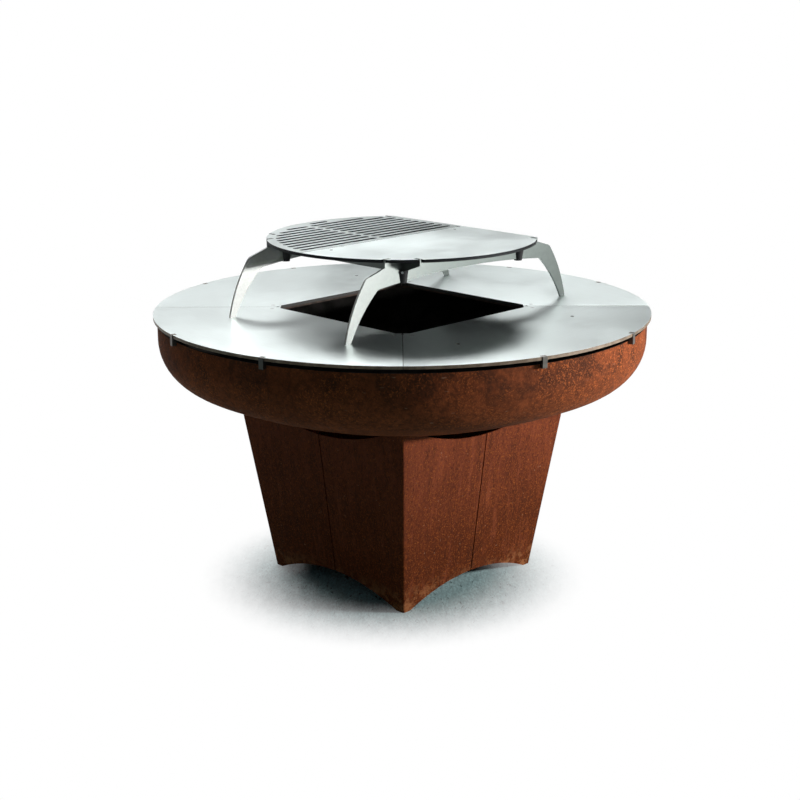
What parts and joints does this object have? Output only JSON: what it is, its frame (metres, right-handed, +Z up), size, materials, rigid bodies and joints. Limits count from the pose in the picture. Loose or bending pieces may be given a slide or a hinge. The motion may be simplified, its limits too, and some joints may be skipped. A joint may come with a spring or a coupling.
{
  "type": "grill table",
  "caption": "Round grill table: dished fire bowl on a leaning square base, ring worktop with a square fire opening, and a raised stand with a slotted grate and a solid griddle.",
  "frame": {"origin": "on the floor under the centre of the table", "axes": "+Z up; the base's sides and the fire opening's sides face X and Y; the front corner of the base points to -X -Y; the grate is on the +Y half of the raised disc and the disc's straight cut faces +X"},
  "size_m": [1.3199, 1.3198, 0.926],
  "materials": {
    "weathered_steel": "rusted weathering steel, matte with streaks",
    "strap_steel": "rusted mild steel",
    "zinc_steel": "plain fastener steel",
    "satin_stainless": "satin brushed stainless",
    "bead_blasted_stainless": "matt pale stainless, laser cut",
    "black_block": "black, matt"
  },
  "bodies": {
    "base": {"base_corner_front": "weathered_steel", "base_corner_right": "weathered_steel", "base_corner_back": "weathered_steel", "base_corner_left": "weathered_steel", "seam_strap_right_back": "strap_steel", "seam_strap_back_left": "strap_steel", "seam_strap_left_front": "strap_steel", "seam_strap_front_right": "strap_steel", "rim_tab_1": "bead_blasted_stainless", "rim_tab_2": "bead_blasted_stainless", "rim_tab_3": "bead_blasted_stainless", "rim_tab_4": "bead_blasted_stainless", "rim_tab_5": "bead_blasted_stainless", "rim_tab_6": "bead_blasted_stainless", "rim_tab_7": "bead_blasted_stainless", "rim_tab_8": "bead_blasted_stainless", "strap_studs": "zinc_steel", "fire_bowl": "weathered_steel"},
    "worktop": {"top_plate_right_back": "satin_stainless", "top_plate_back_left": "satin_stainless", "top_plate_left_front": "satin_stainless", "top_plate_front_right": "satin_stainless", "under_frame": "strap_steel", "frame_screws": "zinc_steel"},
    "stand": {"bridge_plate_front_right": "bead_blasted_stainless", "bridge_plate_back_left": "bead_blasted_stainless", "cross_plate_left_front": "bead_blasted_stainless", "cross_plate_right_back": "bead_blasted_stainless", "corner_block_front": "black_block", "corner_block_right": "black_block", "corner_block_back": "black_block", "corner_block_left": "black_block", "block_screws": "zinc_steel", "foot_pegs": "bead_blasted_stainless"},
    "grate": {"grate": "satin_stainless"},
    "griddle": {"griddle": "satin_stainless"}
  },
  "joints": [
    {"name": "worktop_lift", "type": "slide", "parent": "base", "child": "worktop", "axis": [0, 0, 1], "range_m": [0, 0.3]},
    {"name": "stand_lift", "type": "slide", "parent": "worktop", "child": "stand", "axis": [0, 0, 1], "range_m": [0, 0.3]},
    {"name": "grate_lift", "type": "slide", "parent": "stand", "child": "grate", "axis": [0, 0, 1], "range_m": [0, 0.25]},
    {"name": "griddle_lift", "type": "slide", "parent": "stand", "child": "griddle", "axis": [0, 0, 1], "range_m": [0, 0.25]}
  ]
}
